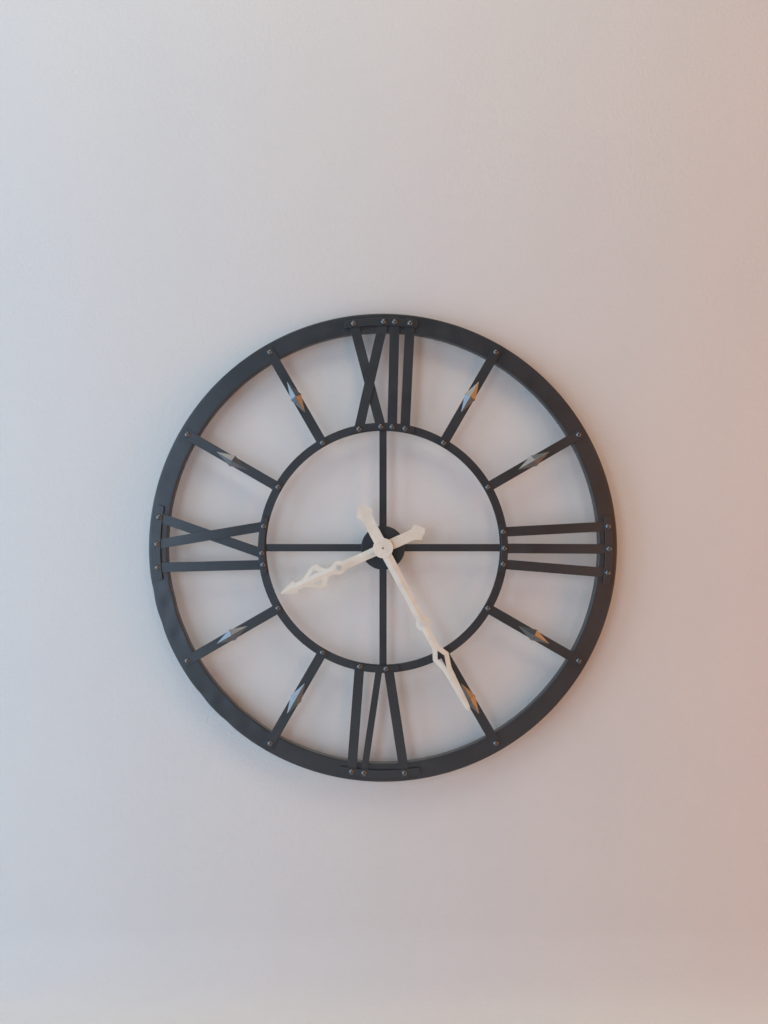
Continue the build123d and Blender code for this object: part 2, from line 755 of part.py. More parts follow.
def rotor():
    """The two-pole magnet that the stator turns, with its pinion."""
    x, z = bearing_points()["rotor"]
    module = module_for(rotor_distance, intermediate_teeth, rotor_pinion_teeth)
    phase = mate_phase(rotor_bearing, intermediate_teeth, rotor_pinion_teeth, rotor_bearing)
    body = pinion(rotor_pinion_teeth, module, phase, intermediate_wheel_front)
    back = stator_front - stator_thickness - pinion_overlap
    front = intermediate_wheel_front + pinion_overlap
    body += disc(rotor_magnet_radius, back, stator_front + pinion_overlap)
    body += disc(2 * post_radius, stator_front, intermediate_wheel_front - wheel_thickness - pinion_overlap)
    return Pos(x, 0, z) * (body - disc(post_radius + running_fit, back, front))


def motion_phase():
    return mate_phase(motion_bearing, cannon_teeth, motion_teeth, motion_bearing)


def motion_wheel():
    """The wheel that slows the hour hand to a twelfth of the minute hand."""
    x, z = bearing_points()["motion"]
    module = module_for(motion_distance, cannon_teeth, motion_teeth)
    body = wheel(motion_teeth, module, motion_phase(), motion_wheel_front)
    module = module_for(motion_distance, motion_pinion_teeth, hour_teeth)
    body += pinion(motion_pinion_teeth, module, motion_bearing + 180, hour_wheel_front)
    body += disc(2 * post_radius, motion_wheel_front, hour_wheel_front - wheel_thickness - pinion_overlap)
    back, front = motion_wheel_front - wheel_thickness, hour_wheel_front + pinion_overlap
    return Pos(x, 0, z) * (body - disc(post_radius + running_fit, back, front))


def hour_wheel():
    """The hour wheel and the tube that carries the hour hand."""
    module = module_for(motion_distance, motion_pinion_teeth, hour_teeth)
    phase = mate_phase(motion_bearing + 180, motion_pinion_teeth, hour_teeth, motion_bearing + 180)
    body = wheel(hour_teeth, module, phase, hour_wheel_front)
    body += disc(hour_tube_radius, hour_wheel_front, hour_hand_back)
    return body - disc(minute_tube_radius + running_fit, hour_wheel_front - wheel_thickness, hour_hand_back)


def setting_knob():
    """The ribbed knob on the back of the case, on a shaft whose pinion turns the motion wheel."""
    x, z = bearing_points()["knob"]
    module = module_for(motion_distance, cannon_teeth, motion_teeth)
    phase = mate_phase(motion_phase(), motion_teeth, knob_pinion_teeth, knob_bearing)
    body = pinion(knob_pinion_teeth, module, phase, motion_wheel_front)
    front = case_back_depth - knob_gap
    body += disc(knob_shaft_radius, front, motion_wheel_front)
    knob = disc(knob_radius, front - knob_thickness, front)
    notch = Pos(knob_radius, 0) * Circle(math.pi * knob_radius / knob_ribs / 2)
    for rib in range(knob_ribs):
        knob -= slab(Rot(0, 0, 360 * rib / knob_ribs) * notch, front - knob_thickness, front)
    return Pos(x, 0, z) * (body + knob)


# ---- Motor and board ----
def stator_core():
    """Where the coil's core bar runs: its two ends and its height."""
    right = bearing_points()["rotor"][0] + stator_bar
    top = case_size / 2 - case_wall - coil_radius - battery_clearance
    return -coil_length / 2 - stator_bar, right, top


def stator():
    """A closed loop of laminations round the coil, with the rotor's hole in its lower bar."""
    left, right, top = stator_core()
    x, z = bearing_points()["rotor"]
    low = z - rotor_magnet_radius - stator_gap - stator_bar
    bar_low = z + stator_bar
    outline = Polygon((left, bar_low), (left, top + stator_bar / 2), (right + stator_bar, top + stator_bar / 2),
                      (right + stator_bar, low), (x - stator_bar - rotor_magnet_radius, low),
                      (x - stator_bar - rotor_magnet_radius, bar_low), align=None)
    window = Polygon((left + stator_bar, bar_low + stator_bar), (left + stator_bar, top - stator_bar / 2),
                     (right, top - stator_bar / 2), (right, bar_low + stator_bar), align=None)
    plate = outline - window - Pos(x, z) * Circle(rotor_magnet_radius + stator_gap)
    return slab(plate, stator_front - stator_thickness, stator_front)


def coil():
    """A copper winding on a bobbin, round the stator's core bar."""
    left, right, top = stator_core()
    middle = Pos((left + right + stator_bar) / 2, -(stator_front - stator_thickness / 2), top)
    winding = Rot(0, 90, 0) * Cylinder(coil_radius - bobbin_rim, coil_length)
    cheek = Rot(0, 90, 0) * Cylinder(coil_radius, bobbin_cheek)
    bobbin = winding + [Pos(side * (coil_length - bobbin_cheek) / 2, 0, 0) * cheek for side in (-1, 1)]
    return middle * (bobbin - Box(coil_length, stator_thickness, stator_bar))


def circuit_board():
    """The board on the cover's inner face, with its chip and its crystal can."""
    x = -case_size / 2 + case_wall + battery_clearance + board_width / 2
    z = partition_top + battery_clearance + board_height / 2 + board_lift
    back, front = case_inside_back, case_inside_back + board_thickness
    board = slab(Pos(x, z) * Rectangle(board_width, board_height), back, front)
    chip = slab(Pos(x, z + board_height / 4) * Rectangle(chip_size, chip_size), front, front + chip_thickness)
    seat = -front - crystal_radius + crystal_seat
    can = Pos(x, seat, z - board_height / 4) * Cylinder(crystal_radius, crystal_length)
    return board + chip + can


# ---- Hands ----
def mirrored(outline):
    """A hand's outline from its right half, given as (distance along the hand, half width) points."""
    right = [(half, along) for along, half in outline]
    left = [(-half, along) for half, along in reversed(right)]
    return Polygon(*right, *[p for p in left if p[0]], align=None)


def v_section(reach, slope, back, along):
    """A pressed sheet's section across the hand, with its ridge towards the viewer."""
    drop = reach * slope
    outline = Polygon(
        (-reach, -back + drop),
        (0, -back),
        (reach, -back + drop),
        (reach, -back - hand_sheet + drop),
        (0, -back - hand_sheet),
        (-reach, -back - hand_sheet + drop),
        align=None,
    )
    return Plane(origin=(0, 0, along), x_dir=(1, 0, 0), z_dir=(0, 0, 1)) * outline


def folded(outline, back, reach):
    """A blade pressed to a shallow V past the fold's start, with this outline seen from the front."""
    section = v_section(reach, fold_slope, back, crease_distance + fold_length)
    strip = extrude(section, amount=outer_radius, dir=(0, 0, 1))
    return strip & slab(outline, back - reach * fold_slope, back + hand_sheet)


def fold_start(half_width, back):
    """The short stretch where the flat hub becomes the folded blade."""
    flat = v_section(half_width, 0.0, back, crease_distance)
    bent = v_section(half_width, fold_slope, back, crease_distance + fold_length)
    return loft([flat, bent], ruled=True)


def tail(outline, back):
    """The flat tail, pitched a little towards the wall from its crease."""
    crease = Pos(0, -back, -crease_distance)
    sheet = slab(outline, back, back + hand_sheet)
    return crease * Rot(tail_pitch, 0, 0) * Pos(0, back, crease_distance) * sheet


def rounded(outline, start, end, radius):
    """The outline with its corners between two distances along the hand rounded."""
    return fillet([v for v in outline.vertices() if start < v.Y < end], radius)


def tail_outline(half_width, shoulder, lobe_along, lobe_half, tip):
    """A tail that flares to a lobe on each side and ends in a rounded point."""
    shape = mirrored((
        (-tip, 0.0),
        (-tip + tail_point_length, lobe_half * tail_point_share),
        (-(tip + lobe_along) / 2 + tail_hollow_shift, lobe_half * tail_hollow_share),
        (-lobe_along, lobe_half),
        (-shoulder, half_width),
        (-crease_distance, half_width),
    ))
    return rounded(shape, -tip - 1, -shoulder - 1, tail_corner_radius)


def creases(back):
    """Two pressed lines across the front of a hub, where the tail and the blade are bent from it."""
    front = back + hand_sheet
    floor = Plane(origin=(-hub_radius, 0, 0), x_dir=(0, 1, 0), z_dir=(1, 0, 0))
    lines = []
    for along in (-crease_distance, crease_distance):
        groove = Polygon((crease_depth - front, along), (-front, along - crease_width / 2),
                         (-front - crease_depth, along - crease_width), (-front - crease_depth, along + crease_width),
                         (-front, along + crease_width / 2), align=None)
        lines.append(extrude(floor * groove, amount=2 * hub_radius, dir=(1, 0, 0)))
    return lines


def minute_hand():
    back = minute_hand_back
    eye_at, eye_radius, eye_hole = minute_eye
    blade = mirrored(minute_shaft) + Pos(0, eye_at) * Circle(eye_radius)
    loop = rounded(rounded(mirrored(minute_loop), *minute_tip_rounding), *minute_loop_rounding)
    window = rounded(mirrored(minute_window), *minute_window_rounding)
    blade = blade + loop - window - Pos(0, eye_at) * Circle(eye_hole)
    body = folded(blade, back, minute_fold_reach) + fold_start(minute_neck, back)
    body += disc(hub_radius, back, back + hand_sheet) + tail(tail_outline(*minute_tail), back)
    body -= [disc(second_hole_radius, back, back + hand_sheet), *creases(back)]
    return clockwise(body, minute_rest_angle)


def hour_hand():
    back = hour_hand_back
    eye_at, eye_radius, eye_hole = hour_eye
    blade = rounded(mirrored(hour_shaft), *hour_tip_rounding) + Pos(0, eye_at) * Circle(eye_radius)
    blade += mirrored(hour_eye_flare)
    blade += rounded(mirrored(hour_leaf), *hour_leaf_rounding)
    window = Polygon(*hour_window, align=None)
    window = fillet(window.vertices(), hour_window_radius)
    blade = blade - window - mirror(window, Plane.YZ) - Pos(0, eye_at) * Circle(eye_hole)
    body = folded(blade, back, hour_fold_reach) + fold_start(hour_neck, back)
    body += disc(hub_radius, back, back + hand_sheet) + tail(tail_outline(*hour_tail), back)
    body -= [disc(minute_tube_radius + hand_gap, back, back + hand_sheet), *creases(back)]
    return clockwise(body, hour_rest_angle)


def collet(radius, hand_back):
    """A brass sleeve staked behind a hand's hub, which grips the movement's tube."""
    back = hand_back - collet_length
    return tube(radius + collet_wall, radius, back, hand_back)


# ---- The clock ----
def clock():
    hour_points = hour_bar_rivet_points()
    numeral_points = numeral_rivet_points()
    every_point = hour_points + numeral_points
    nodes = {
        "outer_ring": outer_ring(every_point),
        "inner_ring": inner_ring(every_point),
        "hour_diamonds": Compound(children=[diamond(hour) for hour in hour_bar_hours]),
        "cross_bar_vertical": cross_bar(0, rim_face_depth),
        "cross_bar_horizontal": cross_bar(90, rim_face_depth - cross_bar_thickness),
        "centre_disc": centre_disc(),
        "bar_rivets": rivets(hour_points, bar_top_depth),
        "numeral_rivets": rivets(numeral_points, strap_top_depth),
        "hanger_bracket": hanger_bracket(),
        "wall_bumpers": Compound(children=[wall_bumper(angle) for angle in bumper_clock_angles]),
        "movement_housing": movement_housing(),
        "movement_cover": movement_cover(),
        "movement_washer": tube(washer_radius, bush_radius + bush_fit, case_front_depth, cross_back_depth),
        "movement_nut": mounting_nut(),
        "battery_cell": battery_cell(),
        "battery_contacts": battery_contacts(),
        "circuit_board": circuit_board(),
        "stator": stator(),
        "coil": coil(),
        "rotor": rotor(),
        "intermediate_wheel": intermediate_wheel(),
        "second_wheel": second_wheel(),
        "third_wheel": third_wheel(),
        "minute_wheel": minute_wheel(),
        "motion_wheel": motion_wheel(),
        "hour_wheel": hour_wheel(),
        "setting_knob": setting_knob(),
        "hour_hand": hour_hand(),
        "hour_hand_collet": collet(hour_tube_radius, hour_hand_back),
        "minute_hand": minute_hand(),
        "minute_hand_collet": collet(minute_tube_radius, minute_hand_back),
    }
    for hour in hour_bar_hours:
        nodes[f"hour_bar_{hour}"] = hour_bar(hour)
    for numeral, (_, strokes) in numeral_strokes.items():
        by_name = {f"{numeral}_{stroke[0]}": stroke for stroke in strokes}
        for name, stroke in by_name.items():
            rear = by_name.get(front_strokes.get(name))
            nodes[name] = numeral_stroke(numeral, stroke, stroke_width(name), rear)
        for side in ("outer", "inner"):
            nodes[f"{numeral}_{side}_strap"] = numeral_strap(numeral, side)
    return nodes


if __name__ == "__main__":
    os.makedirs("parts", exist_ok=True)
    for node, shape in clock().items():
        export_step(shape, f"parts/{node}.step")
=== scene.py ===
import json
import math

import bmesh
import bpy
from bpy.props import FloatProperty, FloatVectorProperty, IntProperty, PointerProperty
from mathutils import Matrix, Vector


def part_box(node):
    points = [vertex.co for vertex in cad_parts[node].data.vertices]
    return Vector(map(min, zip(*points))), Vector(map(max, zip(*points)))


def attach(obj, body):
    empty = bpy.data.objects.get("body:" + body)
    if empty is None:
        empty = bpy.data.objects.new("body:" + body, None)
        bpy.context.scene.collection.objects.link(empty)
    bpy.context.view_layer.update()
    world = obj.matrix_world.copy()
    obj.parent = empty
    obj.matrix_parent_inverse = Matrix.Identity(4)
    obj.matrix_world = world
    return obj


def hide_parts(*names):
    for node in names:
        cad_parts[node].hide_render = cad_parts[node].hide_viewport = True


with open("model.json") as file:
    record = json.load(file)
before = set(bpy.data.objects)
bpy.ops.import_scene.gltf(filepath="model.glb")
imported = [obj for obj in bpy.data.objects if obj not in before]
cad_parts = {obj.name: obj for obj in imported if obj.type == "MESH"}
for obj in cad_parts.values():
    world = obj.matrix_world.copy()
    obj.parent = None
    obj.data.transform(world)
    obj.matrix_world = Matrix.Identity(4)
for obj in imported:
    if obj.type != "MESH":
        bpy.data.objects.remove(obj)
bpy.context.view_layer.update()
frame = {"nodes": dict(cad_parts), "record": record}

bl_info = {
    "name": "Riveted skeleton wall clock",
    "version": (1, 0, 0),
    "blender": (4, 5, 0),
    "location": "3D View > Sidebar > Clock",
    "description": "Finishes, soft edges and a studio for a riveted skeleton wall clock",
    "category": "Object",
}

MM = 0.001
NODES = frame["nodes"]
BODY_OF = {node: body for body, nodes in frame["record"]["behaviour"]["bodies"].items() for node in nodes}
SLOT_OF = {node: shape.data.materials[0].name for node, shape in NODES.items()}
DIAL_AXIS = (0.0, 1.0, 0.0)
# Faces that meet at more than SHARP have an edge between them, those at less than FLAT are one face, and
# points nearer than MERGE are one point.
SHARP = math.radians(35)
FLAT = math.radians(0.3)
MERGE = 0.002 * MM
# Most of a noise texture's values lie between these two.
NOISE_LOW, NOISE_HIGH = 0.32, 0.68
# The colour sockets of a Mix node, which share their names with its other sockets.
MIX_FIRST, MIX_SECOND, MIX_RESULT = 6, 7, 2


def linear(hex_colour):
    """The linear colour of an sRGB hex value."""
    channels = [int(hex_colour[i : i + 2], 16) / 255 for i in (1, 3, 5)]
    return tuple(c / 12.92 if c <= 0.04045 else ((c + 0.055) / 1.055) ** 2.4 for c in channels)


# ---- Settings ----
def length(name, description, millimetres):
    """A length setting, whose default is given in millimetres."""
    return FloatProperty(
        name=name, description=description, default=millimetres * MM, min=0.0, precision=5,
        unit="LENGTH", subtype="DISTANCE",
    )


def colour(name, description, hex_colour):
    """A colour setting, whose default is an sRGB hex value."""
    return FloatVectorProperty(
        name=name, description=description, default=linear(hex_colour), min=0.0, max=1.0, size=3,
        subtype="COLOR",
    )


class ClockSizes(bpy.types.PropertyGroup):
    """Sizes of the edges, bends and marks that finish the frame"""

    rim_sheet: length("Rim sheet", "Thickness of the rim's folded sheet", 1.5)
    rim_bend: length("Rim bend", "Outside radius of the rim's two folds", 2.5)
    rim_steps: IntProperty(name="Rim steps", description="Segments round the rim", default=288, min=48)
    dent_depth: length("Dent depth", "How deep the handling dents in the rim are", 1.3)
    dent_width: length("Dent width", "How far a dent in the rim spreads", 13.0)
    bar_edge: length("Bar edge", "Rounding of the sheared edges of the strokes and cross bars", 0.4)
    diamond_edge: length("Diamond edge", "Rounding of the arrises of the diamonds", 0.35)
    hand_edge: length("Hand edge", "Rounding of the stamped edges of the hands", 0.22)
    crimp_depth: length("Crimp depth", "Depth of the groove rolled round the cell near its nub", 0.35)
    wire_pitch: length("Wire pitch", "Distance between the turns that show on the coil", 0.5)


class ClockColours(bpy.types.PropertyGroup):
    """Colours of the clock's finishes"""

    frame_paint: colour("Frame paint", "Charcoal powder coat of the rim, bars and straps", "#272b2e")
    frame_haze: colour("Frame haze", "Thin dust and rub marks on the charcoal", "#33373a")
    diamond_paint: colour("Diamond enamel", "Gunmetal enamel of the diamonds", "#595d60")
    diamond_worn: colour("Diamond wear", "Enamel rubbed thin on the diamonds", "#6c7072")
    rivet_lacquer: colour("Rivet lacquer", "Blackened steel of the rivets", "#55585b")
    rivet_worn: colour("Rivet wear", "Rivet steel where the black is rubbed", "#6d7073")
    hand_cream: colour("Hand cream", "Cream enamel of the hands", "#e2ddce")
    hand_shade: colour("Hand shade", "Darker mottling in the cream", "#cdc4b1")
    zinc: colour("Zinc", "Bright zinc of the hanger bracket", "#b7bbbd")
    rubber: colour("Rubber", "Rubber of the bumpers and washer", "#1d1d1c")
    case_plastic: colour("Case plastic", "ABS of the movement's case", "#17181a")
    brass: colour("Brass", "Brass of the nut and collets", "#c9a24e")
    sleeve: colour("Cell sleeve", "Main colour of the cell's sleeve", "#25415f")
    sleeve_band: colour("Cell band", "Band of the cell's sleeve", "#b9bdc0")
    nickel: colour("Nickel", "Nickel plate of the contacts and stator", "#b5b1a8")
    magnet: colour("Magnet", "Ground ferrite of the rotor", "#4a4a4d")
    laminate: colour("Laminate", "Solder resist of the circuit board", "#14502c")
    copper: colour("Copper", "Enamelled winding wire", "#b5652f")
    wheel_white: colour("Wheel white", "Acetal of the wheels", "#dcdad2")
    studio: colour("Studio", "Paper of the wall and floor", "#d3d3d0")
    cool_light: colour("Window light", "Tint of the lights on the left", "#c2e0ff")
    warm_light: colour("Lamp light", "Tint of the lights on the right", "#ffa050")
    ceiling_light: colour("Ceiling light", "Tint of the light above", "#fff6e8")


# ---- Shader nodes ----
def add_node(tree, kind, inputs=None, **settings):
    """Adds one node with its settings. inputs maps a socket to its value or to the socket that feeds it."""
    node = tree.nodes.new(kind)
    for name, value in settings.items():
        setattr(node, name, value)
    for name, value in (inputs or {}).items():
        if isinstance(value, bpy.types.NodeSocket):
            tree.links.new(value, node.inputs[name])
        else:
            node.inputs[name].default_value = value
    return node


def new_finish(name, surface):
    """A new material with its tree, its shader and the object coordinates that its patterns use."""
    material = bpy.data.materials.new(name)
    material.use_nodes = True
    tree = material.node_tree
    tree.nodes.clear()
    shader = add_node(tree, "ShaderNodeBsdfPrincipled", surface)
    add_node(tree, "ShaderNodeOutputMaterial", {"Surface": shader.outputs["BSDF"]})
    place = add_node(tree, "ShaderNodeTexCoord").outputs["Object"]
    return material, tree, shader, place


def drift(tree, place, size, low, high, detail=2.0):
    """A value that drifts between low and high in patches of this size in millimetres."""
    patches = {"Vector": place, "Scale": 1 / (size * MM), "Detail": detail}
    noise = add_node(tree, "ShaderNodeTexNoise", patches).outputs["Fac"]
    spread = {"Value": noise, "From Min": NOISE_LOW, "From Max": NOISE_HIGH, "To Min": low, "To Max": high}
    return add_node(tree, "ShaderNodeMapRange", spread).outputs["Result"]


def between(tree, amount, first, second):
    """A colour that goes from the first to the second as the amount goes from 0 to 1."""
    ends = {"Factor": amount}
    for socket, end in ((MIX_FIRST, first), (MIX_SECOND, second)):
        ends[socket] = end if isinstance(end, bpy.types.NodeSocket) else (*end, 1.0)
    return add_node(tree, "ShaderNodeMix", ends, data_type="RGBA").outputs[MIX_RESULT]


def tint(tree, shader, amount, first, second):
    """A base colour that goes from the first to the second as the amount goes from 0 to 1."""
    tree.links.new(between(tree, amount, first, second), shader.inputs["Base Color"])


def gloss(tree, shader, place, size, low, high, detail=2.0):
    """Roughness that drifts between low and high in patches of this size in millimetres."""
    tree.links.new(drift(tree, place, size, low, high, detail), shader.inputs["Roughness"])


def relief(tree, shader, height, depth):
    """Bump of this depth in millimetres from a height between 0 and 1."""
    bump = add_node(tree, "ShaderNodeBump", {"Height": height, "Distance": depth * MM, "Strength": 1.0})
    tree.links.new(bump.outputs["Normal"], shader.inputs["Normal"])


def powder_coated_steel(name, colours):
    # Polyester powder coat baked on sheet steel: a satin film whose orange peel breaks up reflections.
    # The peel is really about 1.5 mm across. It is drawn at 4 mm, because the real one is too fine to show.
    surface = {"IOR": 1.5, "Coat Weight": 0.25, "Coat Roughness": 0.25}
    material, tree, shader, place = new_finish(name, surface)
    haze = drift(tree, place, 55, 0.0, 0.75, 4.0)
    tint(tree, shader, haze, colours.frame_paint, colours.frame_haze)
    gloss(tree, shader, place, 24, 0.36, 0.5, 3.0)
    relief(tree, shader, drift(tree, place, 4, 0.0, 1.0), 0.06)
    return material


def enamelled_casting(name, colours):
    # Cast zinc pyramids under gunmetal enamel, glossier than the frame: a facet mirrors one light or none.
    surface = {"Metallic": 0.6, "Coat Weight": 1.0, "Coat Roughness": 0.08, "Roughness": 0.3}
    material, tree, shader, place = new_finish(name, surface)
    haze = drift(tree, place, 12, 0.0, 0.5, 3.0)
    tint(tree, shader, haze, colours.diamond_paint, colours.diamond_worn)
    relief(tree, shader, drift(tree, place, 5, 0.0, 1.0, 1.0), 0.05)
    return material


def black_lacquered_steel(name, colours):
    # Cold-headed steel rivets, blackened and lacquered: dark domes with one small hard highlight each.
    surface = {"Metallic": 0.85, "Coat Weight": 1.0, "Coat Roughness": 0.06}
    material, tree, shader, place = new_finish(name, surface)
    rub = drift(tree, place, 6, 0.0, 0.25, 2.0)
    tint(tree, shader, rub, colours.rivet_lacquer, colours.rivet_worn)
    gloss(tree, shader, place, 3, 0.2, 0.34)
    relief(tree, shader, drift(tree, place, 2.5, 0.0, 1.0), 0.03)
    return material


def cream_enamel(name, colours):
    # Stove enamel sprayed on pressed steel: satin cream, faintly mottled where the film is thinner.
    surface = {"IOR": 1.5, "Coat Weight": 0.15, "Coat Roughness": 0.35}
    material, tree, shader, place = new_finish(name, surface)
    film = between(tree, drift(tree, place, 22, 0.0, 0.6, 4.0), colours.hand_cream, colours.hand_shade)
    cells = {"Vector": place, "Scale": 1 / (6 * MM), "Randomness": 1.0}
    away = add_node(tree, "ShaderNodeTexVoronoi", cells).outputs["Distance"]
    dot = {"Value": away, "From Min": 0.05, "From Max": 0.16, "To Min": 0.45, "To Max": 0.0}
    dots = add_node(tree, "ShaderNodeMapRange", dot).outputs["Result"]
    tint(tree, shader, dots, film, colours.hand_shade)
    gloss(tree, shader, place, 9, 0.4, 0.55, 3.0)
    relief(tree, shader, drift(tree, place, 2.5, 0.0, 1.0), 0.04)
    return material


def bright_zinc(name, colours):
    # Electroplated sheet: a pale metal with faint cloudy spangle and rolling lines along the strip.
    material, tree, shader, place = new_finish(name, {"Metallic": 1.0})
    spangle = drift(tree, place, 5, 0.0, 0.5, 3.0)
    tint(tree, shader, spangle, colours.zinc, colours.nickel)
    gloss(tree, shader, place, 3, 0.28, 0.45, 3.0)
    rolled = add_node(tree, "ShaderNodeMapping", {"Vector": place, "Scale": (0.05, 1.0, 1.0)})
    relief(tree, shader, drift(tree, rolled.outputs["Vector"], 0.6, 0.0, 1.0), 0.01)
    return material


def moulded_rubber(name, colours):
    # Nitrile rubber with a matt skin and a faint bloom.
    material, tree, shader, place = new_finish(name, {"IOR": 1.52})
    bloom = drift(tree, place, 7, 0.0, 0.3, 4.0)
    tint(tree, shader, bloom, colours.rubber, colours.frame_haze)
    gloss(tree, shader, place, 4, 0.7, 0.9)
    relief(tree, shader, drift(tree, place, 0.8, 0.0, 1.0), 0.05)
    return material


def moulded_abs(name, colours):
    # Injection-moulded ABS with a fine spark-eroded grain, about 0.4 mm, drawn at 0.8 mm so that it shows.
    material, tree, shader, place = new_finish(name, {"IOR": 1.54})
    scuff = drift(tree, place, 14, 0.0, 0.2, 5.0)
    tint(tree, shader, scuff, colours.case_plastic, colours.frame_haze)
    gloss(tree, shader, place, 10, 0.42, 0.56)
    relief(tree, shader, drift(tree, place, 0.8, 0.0, 1.0, 0.0), 0.03)
    return material


def turned_brass(name, colours):
    # Free-cutting brass off the lathe: fine feed marks round the axis and a little tarnish.
    material, tree, shader, place = new_finish(name, {"Metallic": 1.0})
    tarnish = drift(tree, place, 4, 0.0, 0.45, 3.0)
    tint(tree, shader, tarnish, colours.brass, colours.copper)
    gloss(tree, shader, place, 2, 0.22, 0.38)
    waves = {"Vector": place, "Scale": 1 / (4 * MM), "Distortion": 0.4}
    feed = add_node(tree, "ShaderNodeTexWave", waves, wave_type="RINGS", rings_direction="Y")
    relief(tree, shader, feed.outputs["Fac"], 0.01)
    return material


def printed_sleeve(name, colours):
    # Heat-shrunk printed film on a steel can: glossy, with a plain band at the nub's end and no lettering.
    # The band starts 10 mm from the middle of the dial.
    surface = {"IOR": 1.46, "Coat Weight": 0.8, "Coat Roughness": 0.08}
    material, tree, shader, place = new_finish(name, surface)
    along = add_node(tree, "ShaderNodeSeparateXYZ", {"Vector": place}).outputs["X"]
    edge = {"Value": along, "From Min": 10.0 * MM, "From Max": 10.1 * MM, "To Min": 0.0, "To Max": 1.0}
    band = add_node(tree, "ShaderNodeMapRange", edge).outputs["Result"]
    tint(tree, shader, band, colours.sleeve, colours.sleeve_band)
    gloss(tree, shader, place, 8, 0.22, 0.34)
    relief(tree, shader, drift(tree, place, 6, 0.0, 1.0), 0.03)
    return material


def nickel_plate(name, colours):
    # Nickel on stamped spring steel: pale, slightly warm, with fine rolling lines.
    material, tree, shader, place = new_finish(name, {"Metallic": 1.0})
    cloud = drift(tree, place, 5, 0.0, 0.4, 3.0)
    tint(tree, shader, cloud, colours.nickel, colours.zinc)
    gloss(tree, shader, place, 3, 0.25, 0.4)
    relief(tree, shader, drift(tree, place, 0.5, 0.0, 1.0), 0.008)
    return material


def ground_ferrite(name, colours):
    # Sintered magnet, ground to size: dull grey with a fine crystalline sparkle.
    material, tree, shader, place = new_finish(name, {"Metallic": 0.6})
    grain = drift(tree, place, 0.7, 0.0, 0.7, 3.0)
    tint(tree, shader, grain, colours.magnet, colours.rubber)
    gloss(tree, shader, place, 0.9, 0.35, 0.6)
    relief(tree, shader, drift(tree, place, 0.5, 0.0, 1.0), 0.01)
    return material


def solder_resist(name, colours):
    # Glass-epoxy laminate under green resist, with the copper tracks showing as paler lines.
    surface = {"IOR": 1.55, "Coat Weight": 0.5, "Coat Roughness": 0.15}
    material, tree, shader, place = new_finish(name, surface)
    waves = {"Vector": place, "Scale": 1 / (7 * MM), "Distortion": 3.0, "Detail": 1.0}
    tracks = add_node(tree, "ShaderNodeTexWave", waves, wave_type="BANDS", bands_direction="Z")
    wave = tracks.outputs["Fac"]
    step = {"Value": wave, "From Min": 0.7, "From Max": 0.76, "To Min": 0.0, "To Max": 0.35}
    line = add_node(tree, "ShaderNodeMapRange", step).outputs["Result"]
    tint(tree, shader, line, colours.laminate, colours.wheel_white)
    gloss(tree, shader, place, 5, 0.3, 0.42)
    relief(tree, shader, line, 0.04)
    return material


def enamelled_copper_wire(name, colours):
    # Fine copper wire under clear amber enamel: a metal with a glossy coat.
    surface = {"Metallic": 1.0, "Coat Weight": 0.7, "Coat Roughness": 0.1}
    material, tree, shader, place = new_finish(name, surface)
    shade = drift(tree, place, 2, 0.0, 0.4)
    tint(tree, shader, shade, colours.copper, colours.brass)
    gloss(tree, shader, place, 1.5, 0.25, 0.4)
    return material


def moulded_acetal(name, colours):
    # Natural acetal: white, waxy and slightly translucent, with a smooth gate-side finish.
    surface = {"IOR": 1.48, "Subsurface Weight": 0.2, "Subsurface Scale": 0.5 * MM}
    material, tree, shader, place = new_finish(name, surface)
    cloud = drift(tree, place, 6, 0.0, 0.25)
    tint(tree, shader, cloud, colours.wheel_white, colours.hand_shade)
    gloss(tree, shader, place, 3, 0.32, 0.45)
    relief(tree, shader, drift(tree, place, 1.2, 0.0, 1.0), 0.01)
    return material


FINISHES = {
    "frame_paint": powder_coated_steel,
    "diamond_paint": enamelled_casting,
    "rivet_paint": black_lacquered_steel,
    "hand_cream": cream_enamel,
    "bracket_zinc": bright_zinc,
    "bumper_rubber": moulded_rubber,
    "case_plastic": moulded_abs,
    "nut_brass": turned_brass,
    "battery_sleeve": printed_sleeve,
    "contact_steel": nickel_plate,
    "magnet_steel": ground_ferrite,
    "board_laminate": solder_resist,
    "coil_copper": enamelled_copper_wire,
    "wheel_plastic": moulded_acetal,
}


def finish(slot):
    """The material of a record slot, made the first time that it is asked for."""
    build = FINISHES[slot]
    return bpy.data.materials.get(build.__name__) or build(build.__name__, bpy.context.scene.clock_colours)


def paint(*nodes):
    """Gives CAD nodes whose shape is kept the finish of their slot."""
    for node in nodes:
        NODES[node].data.materials[0] = finish(SLOT_OF[node])


# ---- Modelling ----
def spun(points, rounds, centre, axis, steps, closed=True):
    """A profile spun once round an axis, after the corners that rounds numbers have got their radius.

    A profile that isn't closed starts and ends on the axis."""
    form = bmesh.new()
    corners = [form.verts.new(p) for p in points]
    for first, second in zip(corners, corners[1:] + corners[:1] if closed else corners[1:]):
        form.edges.new((first, second))
    for index, radius in rounds.items():
        bmesh.ops.bevel(
            form, geom=[corners[index]], offset=radius, offset_type="OFFSET", segments=4, profile=0.5,
            affect="VERTICES", clamp_overlap=False, material=-1,
        )
    bmesh.ops.spin(
        form, geom=form.verts[:] + form.edges[:], cent=centre, axis=axis, dvec=(0, 0, 0), angle=math.tau,
        steps=steps, use_merge=True, use_normal_flip=False, use_duplicate=False,
    )
    bmesh.ops.remove_doubles(form, verts=form.verts, dist=MERGE)
    bmesh.ops.recalc_face_normals(form, faces=form.faces)
    return form


